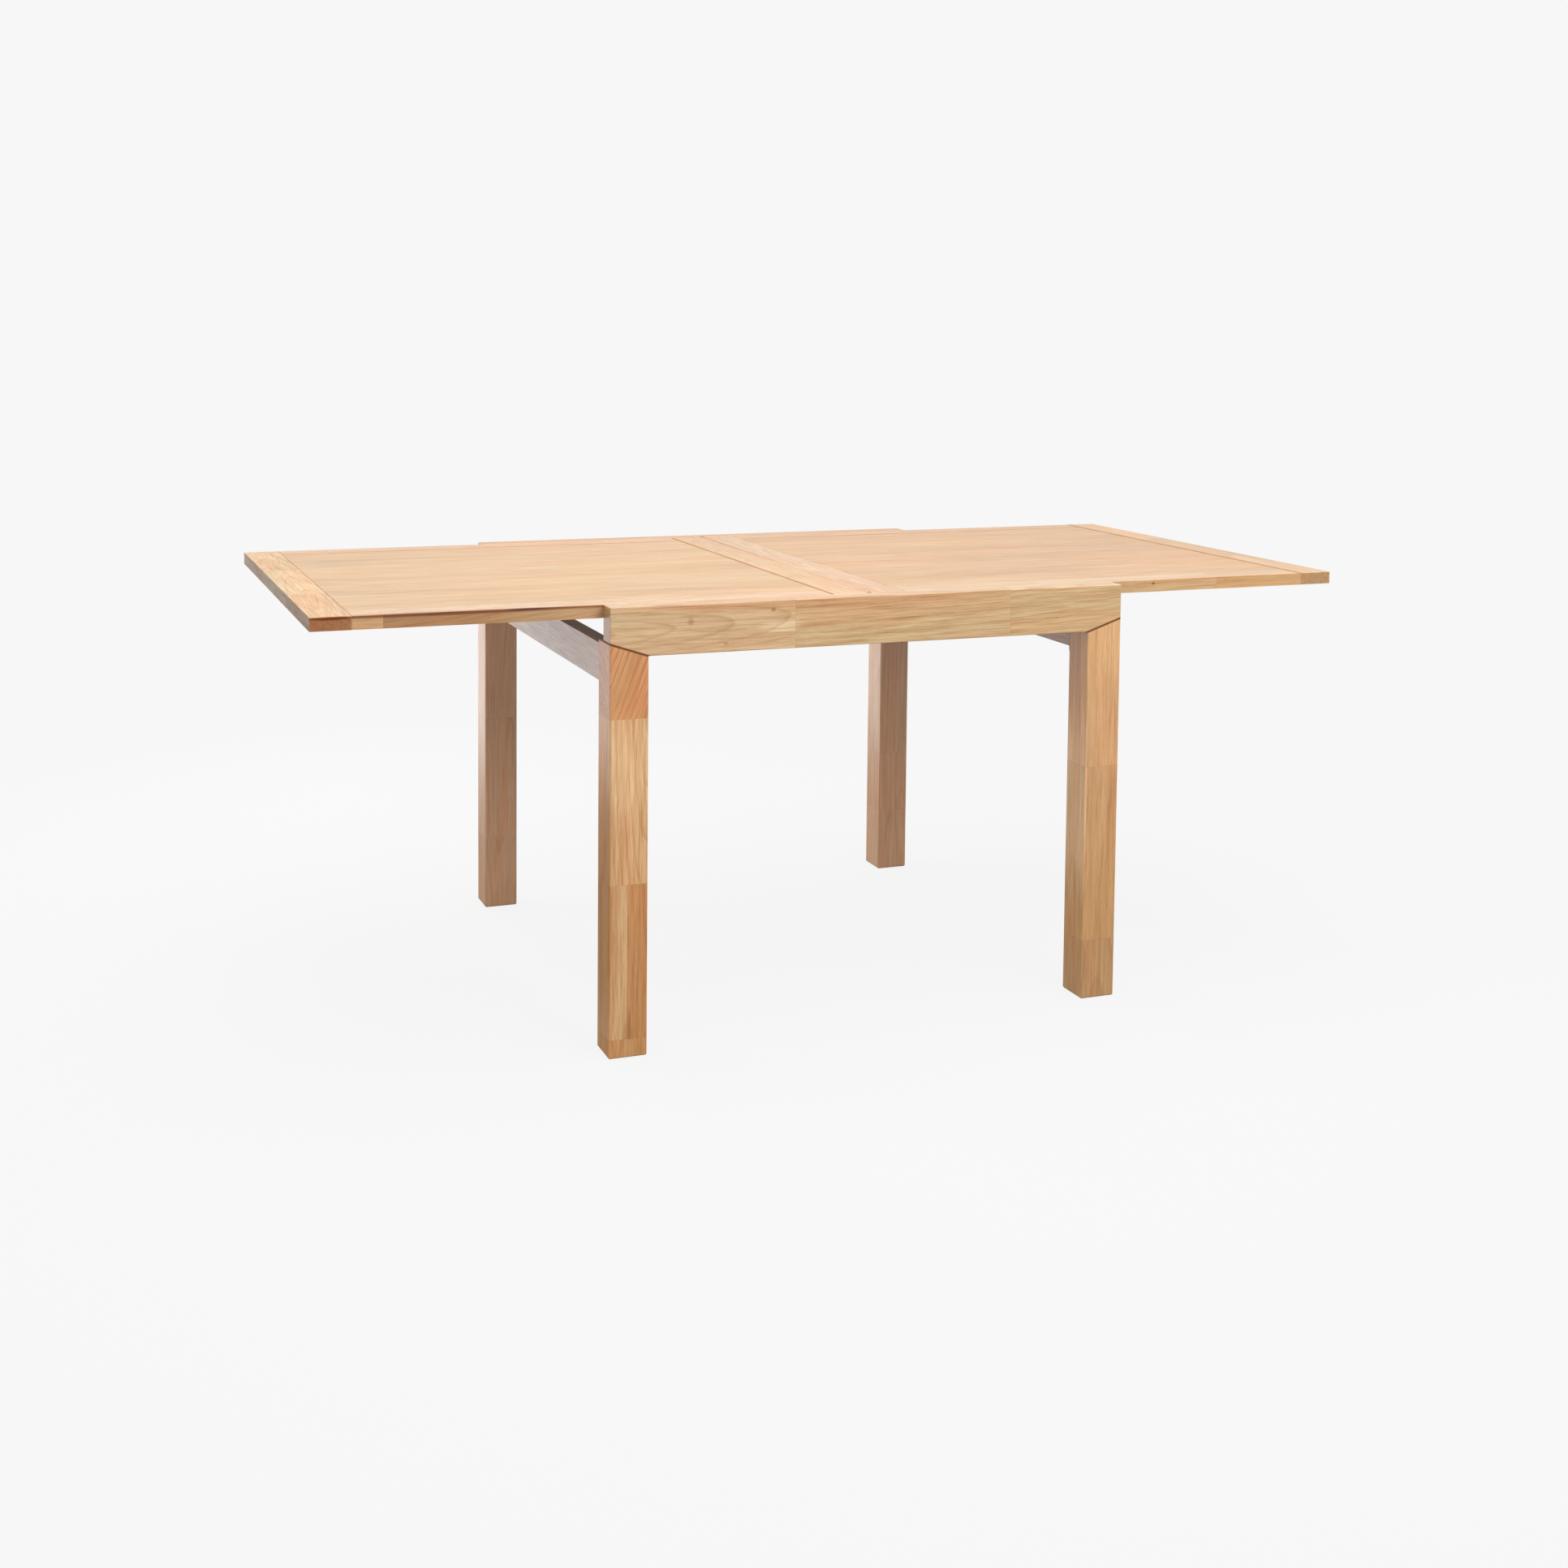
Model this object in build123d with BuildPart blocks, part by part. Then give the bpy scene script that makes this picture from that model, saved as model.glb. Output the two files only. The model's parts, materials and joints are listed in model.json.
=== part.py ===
from build123d import *
import os

os.makedirs("parts", exist_ok=True)

# ---------------------------------------------------------------------------
# Driving dimensions (mm).  +X is the way the top extends, -Y is the front,
# +Z is up, and the origin is on the floor under the middle of the table.
# ---------------------------------------------------------------------------
SIDE = 950.0  # plan length and width of the closed table
TOP_Z = 750.0  # opened top and upper edge of the aprons
HALF = SIDE / 2

LEG = 66.0  # square section of a leg
LEG_EASE = 2.0  # rounding of the long edges of a leg
LEG_INNER = HALF - LEG
LEG_MID = HALF - LEG / 2

APRON_T = 38.0
APRON_END_H = 60.0  # height of an apron at its outer ends
APRON_MID_H = 82.0  # height of an apron between the legs
APRON_EASE = 1.5
APRON_INNER = HALF - APRON_T
APRON_MID = HALF - APRON_T / 2
SHOULDER_HIGH_Z = TOP_Z - APRON_END_H
SHOULDER_LOW_Z = TOP_Z - APRON_MID_H
SHOULDER_RISE = SHOULDER_HIGH_Z - SHOULDER_LOW_Z
SHOULDER_MID_Z = (SHOULDER_HIGH_Z + SHOULDER_LOW_Z) / 2
SHOULDER_L = (LEG**2 + SHOULDER_RISE**2) ** 0.5
JOINT_VEE = 0.7  # half width of the V line round the joint of a leg and an apron
JOINT_CUT = JOINT_VEE * 2**0.5

FLOOR_GLIDE_R = 12.0
FLOOR_GLIDE_PROUD = 2.0
FLOOR_GLIDE_LET_IN = 4.0

RAIL_T = 28.0  # end rail between two legs
RAIL_INSET = 1.0  # its outer face behind the faces of the legs
RAIL_TOP_Z = 684.0
RAIL_BOTTOM_Z = 620.0
RAIL_EASE = 1.5
RAIL_INNER = HALF - RAIL_INSET - RAIL_T
RAIL_MID = RAIL_INNER + RAIL_T / 2
RAIL_MID_Z = (RAIL_TOP_Z + RAIL_BOTTOM_Z) / 2
TENON_T = 12.0
TENON_H = 42.0
TENON_L = 28.0

BLOCK_H = 40.0  # triangular glue block behind each rail joint
BLOCK_MID_Z = 644.0
BLOCK_LEG = RAIL_INNER - LEG_INNER  # its two square sides

DOWEL_R = 5.0
DOWEL_BOTTOM_Z = 650.0
DOWEL_TOP_Z = 712.0
DOWEL_SPREAD = 13.0  # from the middle of the leg, to either side

# Leaves: a flush panel in a frame of two end rails and two side strips
LEAF_L = 950.0
LEAF_T = 22.0
LEAF_SIDE_GAP = 1.0  # running gap between a leaf and an apron
LEAF_HALF_W = APRON_INNER - LEAF_SIDE_GAP
LEAF_BOTTOM_Z = TOP_Z - LEAF_T
LEAF_MID_Z = TOP_Z - LEAF_T / 2
LEAF_EASE = 1.2  # rounding of the outer top edges
LEAF_CORNER_R = 2.0
SEAM_HALF = 0.3  # half of the gap between the two leaves
SEAM_EASE = 0.4
OUTER_RAIL_W = 66.0
INNER_RAIL_W = 67.0
STRIP_W = 57.0
VEE = 0.9  # bevel on each side of the V line at an end rail
TONGUE_T = 6.0
TONGUE_L = 8.0
GROOVE_D = 8.5
GROOVE_STOP = 12.0  # the end rails' grooves stop short of the leaf's edges
PANEL_HALF_W = LEAF_HALF_W - STRIP_W
FIELD_IN = SEAM_HALF + INNER_RAIL_W
FIELD_OUT = LEAF_L - OUTER_RAIL_W
FIELD_MID = (FIELD_IN + FIELD_OUT) / 2
FIELD_L = FIELD_OUT - FIELD_IN
STUB_IN = PANEL_HALF_W + GROOVE_D  # stub tenon of a strip, across the leaf
STUB_OUT = LEAF_HALF_W - GROOVE_STOP

# Bearers on the aprons, and the runners of the carrier leaf
BEARER_T = 28.0
BEARER_HALF_L = 445.5
BEARER_BOTTOM_Z = 690.0
BEARER_TOP_Z = 725.5
BEARER_INNER = APRON_INNER - BEARER_T
BEARER_MID = APRON_INNER - BEARER_T / 2
TRACK_H = 12.0  # groove that guides the runner's tongue
TRACK_D = 10.0
TRACK_Z = 708.0
GLIDE_HALF_L = 430.0
GLIDE_W = 18.0
GLIDE_H = 2.1
STOP_L = 5.0
RUN_GAP = 0.5  # clearance round the running tongue
RUNNER_T = 21.5
RUNNER_BOTTOM_Z = 694.0
RUNNER_OUTER = BEARER_INNER - RUN_GAP
RUNNER_MID = RUNNER_OUTER - RUNNER_T / 2
RUNNER_FAR_X = BEARER_HALF_L - STOP_L - RUN_GAP
RUNNER_NEAR_X = 35.0
RUNNER_L = RUNNER_FAR_X - RUNNER_NEAR_X
RUNNER_H = LEAF_BOTTOM_Z - RUNNER_BOTTOM_Z
RUNNER_TONGUE_L = 9.0

STRETCHER_W = 60.0
STRETCHER_T = 20.0

# Hinges let into the side edges of the leaves, one at each end of the seam
HINGE_Z = TOP_Z + SEAM_HALF  # pin centre
HINGE_T = 3.0
HINGE_MID = LEAF_HALF_W - HINGE_T / 2
EAR_R = 2.5
EAR_GAP = 0.3  # between the two halved ears
EAR_CUT = (HINGE_T + EAR_GAP) / 2
LAP_R = 5.6  # the ears are halved inside this radius
RELIEF_R = 4.4  # wood cut back round the pin
PIN_R = 1.25
PIN_PLAY = 0.05
PLATE_Z = 742.0
PLATE_H = 9.0
PLATE_NEAR_X = 12.0
PLATE_FAR_X = 60.0
PLATE_MID_X = (PLATE_NEAR_X + PLATE_FAR_X) / 2

# Screws: shank radius, head radius, head height
BRASS_SCREW = (1.4, 2.8, 1.4)
WOOD_SCREW = (2.0, 4.0, 2.5)
DRIVER_WELL = 20.0  # clear way cut outside each screw head
HINGE_SCREW_X = (24.0, 46.0)
HINGE_SCREW_L = 16.0
BEARER_SCREW_X = (-400.0, -200.0, 0.0, 200.0, 400.0)
BEARER_SCREW_L = 38.0
RUNNER_SCREW_X = (-420.0, -296.0, -172.0, -48.0)
RUNNER_SCREW_L = 32.0
RUNNER_HEAD_Z = 710.0
STRETCHER_SCREW_X = (-18.0, 18.0)
STRETCHER_SCREW_Y = 428.0
STRETCHER_SCREW_L = 40.0
BLOCK_SCREW_L = 30.0
BLOCK_SCREW_IN = 11.0  # from the square corner of a glue block
BLOCK_SCREW_SINK = 5.0  # head below the slanting face
BLOCK_SCREW_RISE = 9.0  # one screw above, one below the block's middle

FACES = (("front", -1), ("back", 1))
ENDS = (("left", -1), ("right", 1))
STANDING = (Align.CENTER, Align.CENTER, Align.MIN)
HANGING = (Align.CENTER, Align.CENTER, Align.MAX)
RUNNER_ALIGN = (Align.MIN, Align.CENTER, Align.CENTER)
ALONG_Y = (90, 0, 0)


# ---------------------------------------------------------------------------
# Fasteners: every place is a plane on a screw head, pointing along the shank
# ---------------------------------------------------------------------------
bearer_screw_places = [
    Plane((x, sy * (BEARER_INNER + TRACK_D), TRACK_Z), z_dir=(0, sy, 0))
    for x in BEARER_SCREW_X
    for _, sy in FACES
]
stretcher_screw_places = [
    Plane((x, sy * STRETCHER_SCREW_Y, BEARER_BOTTOM_Z - STRETCHER_T), z_dir=(0, 0, 1))
    for x in STRETCHER_SCREW_X
    for _, sy in FACES
]
runner_screw_places = [
    Plane((x, sy * RUNNER_MID, RUNNER_HEAD_Z), z_dir=(0, 0, 1))
    for x in RUNNER_SCREW_X
    for _, sy in FACES
]
hinge_screw_places = {
    end: [
        Plane((sx * x, sy * LEAF_HALF_W, PLATE_Z), z_dir=(0, -sy, 0))
        for x in HINGE_SCREW_X
        for _, sy in FACES
    ]
    for end, sx in ENDS
}
block_screw_places = []
for _, sx in ENDS:
    for _, sy in FACES:
        rail_screw_x = sx * (LEG_INNER + BLOCK_SCREW_IN + BLOCK_SCREW_SINK)
        rail_screw_y = sy * (LEG_INNER - BLOCK_SCREW_IN)
        leg_screw_x = sx * (RAIL_INNER - BLOCK_SCREW_IN)
        leg_screw_y = sy * (LEG_INNER - BLOCK_LEG + BLOCK_SCREW_IN + BLOCK_SCREW_SINK)
        low_z = BLOCK_MID_Z - BLOCK_SCREW_RISE
        high_z = BLOCK_MID_Z + BLOCK_SCREW_RISE
        block_screw_places.append(Plane((rail_screw_x, rail_screw_y, low_z), z_dir=(sx, 0, 0)))
        block_screw_places.append(Plane((leg_screw_x, leg_screw_y, high_z), z_dir=(0, sy, 0)))
dowel_places = [
    (sx * (LEG_MID + side * DOWEL_SPREAD), sy * APRON_MID, DOWEL_BOTTOM_Z)
    for _, sx in ENDS
    for _, sy in FACES
    for side in (-1, 1)
]
foot_places = [(sx * LEG_MID, sy * LEG_MID, 0) for _, sx in ENDS for _, sy in FACES]


# Middles of the V lines: on the front and back, and on the ends of the table
slope_joint_places = [
    Plane(
        (sx * LEG_MID, sy * HALF, SHOULDER_MID_Z),
        x_dir=(sx * LEG, 0, SHOULDER_RISE),
        z_dir=(0, sy, 0),
    )
    for _, sx in ENDS
    for _, sy in FACES
]
end_joint_places = [
    Plane((sx * HALF, sy * APRON_MID, SHOULDER_HIGH_Z), x_dir=(0, 1, 0), z_dir=(sx, 0, 0))
    for _, sx in ENDS
    for _, sy in FACES
]


def joint_lines():
    """V lines cut along the visible joints of the legs and aprons."""
    with Locations(*slope_joint_places):
        Box(SHOULDER_L, JOINT_CUT, JOINT_CUT, rotation=(45, 0, 0), mode=Mode.SUBTRACT)
    with Locations(*end_joint_places):
        Box(APRON_T, JOINT_CUT, JOINT_CUT, rotation=(45, 0, 0), mode=Mode.SUBTRACT)


def screws(places, size, length, mode=Mode.ADD):
    """Countersunk screws, or with SUBTRACT the room that they fill."""
    shank_r, head_r, head_h = size
    with Locations(*places):
        Cone(head_r, shank_r, head_h, align=STANDING, mode=mode)
        Cylinder(shank_r, length, align=STANDING, mode=mode)


def screw_holes(places, size, length):
    """Holes for countersunk screws, with a clear way for the driver."""
    screws(places, size, length, mode=Mode.SUBTRACT)
    with Locations(*places):
        Cylinder(size[1], DRIVER_WELL, align=HANGING, mode=Mode.SUBTRACT)


def dowels(mode):
    """The dowels that join the legs to the aprons, or their holes."""
    with Locations(*dowel_places):
        Cylinder(DOWEL_R, DOWEL_TOP_Z - DOWEL_BOTTOM_Z, align=STANDING, mode=mode)


def glides(mode):
    """The round floor glides, or their recesses."""
    with Locations(*foot_places):
        Cylinder(FLOOR_GLIDE_R, FLOOR_GLIDE_PROUD + FLOOR_GLIDE_LET_IN, align=STANDING, mode=mode)


def hinge_outline(sx, sy):
    """Side view of one hinge half: an eye, its arm and a round-ended plate."""
    with BuildSketch(Plane.XZ.offset(-sy * HINGE_MID)) as outline:
        with Locations((0, HINGE_Z), (sx * PLATE_NEAR_X, PLATE_Z)):
            Circle(EAR_R)
        make_hull()
        with Locations((sx * PLATE_MID_X, PLATE_Z)):
            SlotOverall(PLATE_FAR_X - PLATE_NEAR_X + PLATE_H, PLATE_H)
    return outline.sketch


# ---------------------------------------------------------------------------
# Base: legs, aprons and end rails
# ---------------------------------------------------------------------------
for face, sy in FACES:
    for end, sx in ENDS:
        with BuildPart() as leg:
            with BuildSketch(Plane.XZ.offset(-sy * LEG_MID)):
                with BuildLine():
                    Polyline(
                        (sx * HALF, FLOOR_GLIDE_PROUD),
                        (sx * LEG_INNER, FLOOR_GLIDE_PROUD),
                        (sx * LEG_INNER, SHOULDER_LOW_Z),
                        (sx * HALF, SHOULDER_HIGH_Z),
                        close=True,
                    )
                make_face()
            extrude(amount=LEG / 2, both=True)
            fillet(leg.edges().filter_by(Axis.Z), LEG_EASE)
            chamfer(leg.faces().sort_by(Axis.Z)[0].edges(), LEG_EASE)
            with Locations((sx * RAIL_MID, sy * LEG_INNER, RAIL_MID_Z)):
                Box(TENON_T, 2 * TENON_L, TENON_H, mode=Mode.SUBTRACT)
            joint_lines()
            dowels(Mode.SUBTRACT)
            glides(Mode.SUBTRACT)
            screws(block_screw_places, WOOD_SCREW, BLOCK_SCREW_L, mode=Mode.SUBTRACT)
        leg.part.label = f"leg_{face}_{end}"
        export_step(leg.part, f"parts/{leg.part.label}.step")

for face, sy in FACES:
    outward = Axis((0, 0, 0), (0, sy, 0))
    with BuildPart() as apron:
        with BuildSketch(Plane.XZ.offset(-sy * APRON_MID)):
            with BuildLine():
                Polyline(
                    (-HALF, TOP_Z),
                    (HALF, TOP_Z),
                    (HALF, SHOULDER_HIGH_Z),
                    (LEG_INNER, SHOULDER_LOW_Z),
                    (-LEG_INNER, SHOULDER_LOW_Z),
                    (-HALF, SHOULDER_HIGH_Z),
                    close=True,
                )
            make_face()
        extrude(amount=APRON_T / 2, both=True)
        fillet(apron.edges().filter_by(Axis.Z).group_by(outward)[-1], LEG_EASE)
        fillet(apron.faces().sort_by(Axis.Z)[-1].edges(), APRON_EASE)
        underside = apron.faces().filter_by(Axis.Z).sort_by(Axis.Z)[0]
        fillet(underside.edges().filter_by(Axis.X), APRON_EASE)
        joint_lines()
        dowels(Mode.SUBTRACT)
        screws(bearer_screw_places, WOOD_SCREW, BEARER_SCREW_L, mode=Mode.SUBTRACT)
    apron.part.label = f"apron_{face}"
    export_step(apron.part, f"parts/{apron.part.label}.step")

for end, sx in ENDS:
    with BuildPart() as end_rail:
        with Locations((sx * RAIL_MID, 0, RAIL_MID_Z)):
            Box(RAIL_T, 2 * LEG_INNER, RAIL_TOP_Z - RAIL_BOTTOM_Z)
            fillet(end_rail.edges().filter_by(Axis.Y), RAIL_EASE)
            Box(TENON_T, 2 * (LEG_INNER + TENON_L), TENON_H)
        screws(block_screw_places, WOOD_SCREW, BLOCK_SCREW_L, mode=Mode.SUBTRACT)
    end_rail.part.label = f"end_rail_{end}"
    export_step(end_rail.part, f"parts/{end_rail.part.label}.step")

for face, sy in FACES:
    for end, sx in ENDS:
        with BuildPart() as corner_block:
            with BuildSketch(Plane.XY.offset(BLOCK_MID_Z - BLOCK_H / 2)):
                with BuildLine():
                    Polyline(
                        (sx * RAIL_INNER, sy * LEG_INNER),
                        (sx * LEG_INNER, sy * LEG_INNER),
                        (sx * RAIL_INNER, sy * (LEG_INNER - BLOCK_LEG)),
                        close=True,
                    )
                make_face()
            extrude(amount=BLOCK_H)
            screw_holes(block_screw_places, WOOD_SCREW, BLOCK_SCREW_L)
        corner_block.part.label = f"corner_block_{face}_{end}"
        export_step(corner_block.part, f"parts/{corner_block.part.label}.step")

with BuildPart() as leg_dowels:
    dowels(Mode.ADD)
leg_dowels.part.label = "leg_dowels"
export_step(leg_dowels.part, "parts/leg_dowels.step")

with BuildPart() as floor_glides:
    glides(Mode.ADD)
    chamfer(floor_glides.faces().filter_by(Axis.Z).group_by(Axis.Z)[0].edges(), FLOOR_GLIDE_PROUD / 2)
floor_glides.part.label = "floor_glides"
export_step(floor_glides.part, "parts/floor_glides.step")


# ---------------------------------------------------------------------------
# Slide: grooved bearers with glide strips and stops, and the flat stretcher
# ---------------------------------------------------------------------------
for face, sy in FACES:
    with BuildPart() as bearer:
        with Locations((0, sy * BEARER_MID, BEARER_BOTTOM_Z)):
            Box(2 * BEARER_HALF_L, BEARER_T, BEARER_TOP_Z - BEARER_BOTTOM_Z, align=STANDING)
        with Locations((0, sy * (BEARER_INNER + TRACK_D / 2), TRACK_Z)):
            Box(2 * BEARER_HALF_L, TRACK_D, TRACK_H, mode=Mode.SUBTRACT)
        screw_holes(bearer_screw_places, WOOD_SCREW, BEARER_SCREW_L)
        screws(stretcher_screw_places, WOOD_SCREW, STRETCHER_SCREW_L, mode=Mode.SUBTRACT)
    bearer.part.label = f"bearer_{face}"
    export_step(bearer.part, f"parts/{bearer.part.label}.step")

for face, sy in FACES:
    with BuildPart() as glide_strip:
        with Locations((0, sy * BEARER_MID, BEARER_TOP_Z)):
            Box(2 * GLIDE_HALF_L, GLIDE_W, GLIDE_H, align=STANDING)
        chamfer(glide_strip.faces().sort_by(Axis.Z)[-1].edges(), GLIDE_H / 3)
    glide_strip.part.label = f"glide_strip_{face}"
    export_step(glide_strip.part, f"parts/{glide_strip.part.label}.step")

with BuildPart() as slide_stops:
    with Locations(
        *[
            (sx * (BEARER_HALF_L - STOP_L / 2), sy * (BEARER_INNER + TRACK_D / 2), TRACK_Z)
            for _, sx in ENDS
            for _, sy in FACES
        ]
    ):
        Box(STOP_L, TRACK_D, TRACK_H)
slide_stops.part.label = "slide_stops"
export_step(slide_stops.part, "parts/slide_stops.step")

with BuildPart() as centre_stretcher:
    with Locations((0, 0, BEARER_BOTTOM_Z)):
        Box(STRETCHER_W, 2 * APRON_INNER, STRETCHER_T, align=HANGING)
    fillet(centre_stretcher.edges().filter_by(Axis.Y), RAIL_EASE)
    screw_holes(stretcher_screw_places, WOOD_SCREW, STRETCHER_SCREW_L)
centre_stretcher.part.label = "centre_stretcher"
export_step(centre_stretcher.part, "parts/centre_stretcher.step")

with BuildPart() as bearer_screws:
    screws(bearer_screw_places, WOOD_SCREW, BEARER_SCREW_L)
bearer_screws.part.label = "bearer_screws"
export_step(bearer_screws.part, "parts/bearer_screws.step")

with BuildPart() as stretcher_screws:
    screws(stretcher_screw_places, WOOD_SCREW, STRETCHER_SCREW_L)
stretcher_screws.part.label = "stretcher_screws"
export_step(stretcher_screws.part, "parts/stretcher_screws.step")

with BuildPart() as corner_block_screws:
    screws(block_screw_places, WOOD_SCREW, BLOCK_SCREW_L)
corner_block_screws.part.label = "corner_block_screws"
export_step(corner_block_screws.part, "parts/corner_block_screws.step")


# ---------------------------------------------------------------------------
# Leaves: the left one slides, the right one folds over onto it
# ---------------------------------------------------------------------------
for end, sx in ENDS:
    away = Axis((0, 0, 0), (sx, 0, 0))  # from the seam towards the leaf's outer end

    with BuildPart() as panel:
        with Locations((sx * FIELD_MID, 0, LEAF_MID_Z)):
            Box(FIELD_L, 2 * PANEL_HALF_W, LEAF_T)
            chamfer(panel.faces().sort_by(Axis.Z)[-1].edges().filter_by(Axis.Y), VEE)
            Box(FIELD_L + 2 * TONGUE_L, 2 * (PANEL_HALF_W + TONGUE_L), TONGUE_T)
    panel.part.label = f"{end}_panel"
    export_step(panel.part, f"parts/{panel.part.label}.step")

    with BuildPart() as outer_rail:
        with Locations((sx * (FIELD_OUT + OUTER_RAIL_W / 2), 0, LEAF_MID_Z)):
            Box(OUTER_RAIL_W, 2 * LEAF_HALF_W, LEAF_T)
        fillet(outer_rail.edges().filter_by(Axis.Z).group_by(away)[-1], LEAF_CORNER_R)
        top_edges = outer_rail.faces().sort_by(Axis.Z)[-1].edges()
        vee_edge = top_edges.sort_by(away)[0]
        fillet(top_edges - [vee_edge], LEAF_EASE)
        chamfer(outer_rail.faces().sort_by(Axis.Z)[-1].edges().sort_by(away)[0], VEE)
        with Locations((sx * (FIELD_OUT + GROOVE_D / 2), 0, LEAF_MID_Z)):
            Box(GROOVE_D, 2 * STUB_OUT, TONGUE_T, mode=Mode.SUBTRACT)
    outer_rail.part.label = f"{end}_outer_rail"
    export_step(outer_rail.part, f"parts/{outer_rail.part.label}.step")

    hinge_outlines = [hinge_outline(sx, sy) for _, sy in FACES]
    with BuildPart() as inner_rail:
        with Locations((sx * (FIELD_IN - INNER_RAIL_W / 2), 0, LEAF_MID_Z)):
            Box(INNER_RAIL_W, 2 * LEAF_HALF_W, LEAF_T)
        fillet(inner_rail.faces().sort_by(Axis.Z)[-1].edges().filter_by(Axis.X), LEAF_EASE)
        chamfer(inner_rail.faces().sort_by(Axis.Z)[-1].edges().sort_by(away)[-1], VEE)
        chamfer(inner_rail.faces().sort_by(Axis.Z)[-1].edges().sort_by(away)[0], SEAM_EASE)
        with Locations((sx * (FIELD_IN - GROOVE_D / 2), 0, LEAF_MID_Z)):
            Box(GROOVE_D, 2 * STUB_OUT, TONGUE_T, mode=Mode.SUBTRACT)
        for outline in hinge_outlines:
            extrude(outline, amount=HINGE_T / 2, both=True, mode=Mode.SUBTRACT)
        with Locations(*[(0, sy * HINGE_MID, HINGE_Z) for _, sy in FACES]):
            Cylinder(RELIEF_R, HINGE_T + 2 * EAR_GAP, rotation=ALONG_Y, mode=Mode.SUBTRACT)
        screws(hinge_screw_places[end], BRASS_SCREW, HINGE_SCREW_L, mode=Mode.SUBTRACT)
        screws(runner_screw_places, WOOD_SCREW, RUNNER_SCREW_L, mode=Mode.SUBTRACT)
    inner_rail.part.label = f"{end}_inner_rail"
    export_step(inner_rail.part, f"parts/{inner_rail.part.label}.step")

    for face, sy in FACES:
        outward = Axis((0, 0, 0), (0, sy, 0))
        with BuildPart() as strip:
            with Locations((sx * FIELD_MID, sy * (LEAF_HALF_W - STRIP_W / 2), LEAF_MID_Z)):
                Box(FIELD_L, STRIP_W, LEAF_T)
            fillet(strip.faces().sort_by(Axis.Z)[-1].edges().sort_by(outward)[-1], LEAF_EASE)
            chamfer(strip.faces().sort_by(Axis.Z)[-1].edges().filter_by(Axis.Y), VEE)
            with Locations((sx * FIELD_MID, sy * (PANEL_HALF_W + GROOVE_D / 2), LEAF_MID_Z)):
                Box(FIELD_L, GROOVE_D, TONGUE_T, mode=Mode.SUBTRACT)
            with Locations((sx * FIELD_MID, sy * (STUB_IN + STUB_OUT) / 2, LEAF_MID_Z)):
                Box(FIELD_L + 2 * TONGUE_L, STUB_OUT - STUB_IN, TONGUE_T)
            screws(runner_screw_places, WOOD_SCREW, RUNNER_SCREW_L, mode=Mode.SUBTRACT)
        strip.part.label = f"{end}_strip_{face}"
        export_step(strip.part, f"parts/{strip.part.label}.step")

for face, sy in FACES:
    with BuildPart() as runner:
        with Locations((-RUNNER_FAR_X, sy * RUNNER_MID, RUNNER_BOTTOM_Z)):
            Box(RUNNER_L, RUNNER_T, RUNNER_H, align=(Align.MIN, Align.CENTER, Align.MIN))
        with Locations((-RUNNER_FAR_X, sy * (RUNNER_OUTER + RUNNER_TONGUE_L / 2), TRACK_Z)):
            Box(RUNNER_L, RUNNER_TONGUE_L, TRACK_H - 2 * RUN_GAP, align=RUNNER_ALIGN)
        screw_holes(runner_screw_places, WOOD_SCREW, RUNNER_SCREW_L)
    runner.part.label = f"runner_{face}"
    export_step(runner.part, f"parts/{runner.part.label}.step")

with BuildPart() as runner_screws:
    screws(runner_screw_places, WOOD_SCREW, RUNNER_SCREW_L)
runner_screws.part.label = "runner_screws"
export_step(runner_screws.part, "parts/runner_screws.step")


# ---------------------------------------------------------------------------
# Hinges: the left ear is the outer half of each knuckle, the right the inner
# ---------------------------------------------------------------------------
for end, sx in ENDS:
    ear_cut_y = HINGE_MID + sx * (HINGE_T - EAR_CUT) / 2
    pin_hole_r = PIN_R if end == "left" else PIN_R + PIN_PLAY
    for face, sy in FACES:
        plate_outline = hinge_outline(sx, sy)
        with BuildPart() as hinge_plate:
            extrude(plate_outline, amount=HINGE_T / 2, both=True)
            with Locations((0, sy * ear_cut_y, HINGE_Z)):
                Cylinder(LAP_R, EAR_CUT, rotation=ALONG_Y, mode=Mode.SUBTRACT)
            with Locations((0, sy * HINGE_MID, HINGE_Z)):
                Cylinder(pin_hole_r, HINGE_T, rotation=ALONG_Y, mode=Mode.SUBTRACT)
            screws(hinge_screw_places[end], BRASS_SCREW, HINGE_SCREW_L, mode=Mode.SUBTRACT)
        hinge_plate.part.label = f"{end}_hinge_plate_{face}"
        export_step(hinge_plate.part, f"parts/{hinge_plate.part.label}.step")

    with BuildPart() as hinge_screws:
        screws(hinge_screw_places[end], BRASS_SCREW, HINGE_SCREW_L)
    hinge_screws.part.label = f"{end}_hinge_screws"
    export_step(hinge_screws.part, f"parts/{hinge_screws.part.label}.step")

with BuildPart() as hinge_pins:
    with Locations(*[(0, sy * HINGE_MID, HINGE_Z) for _, sy in FACES]):
        Cylinder(PIN_R, HINGE_T, rotation=ALONG_Y)
hinge_pins.part.label = "hinge_pins"
export_step(hinge_pins.part, "parts/hinge_pins.step")
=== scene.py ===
import json
import math
import random

import bpy
from mathutils import Matrix, Vector


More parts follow.
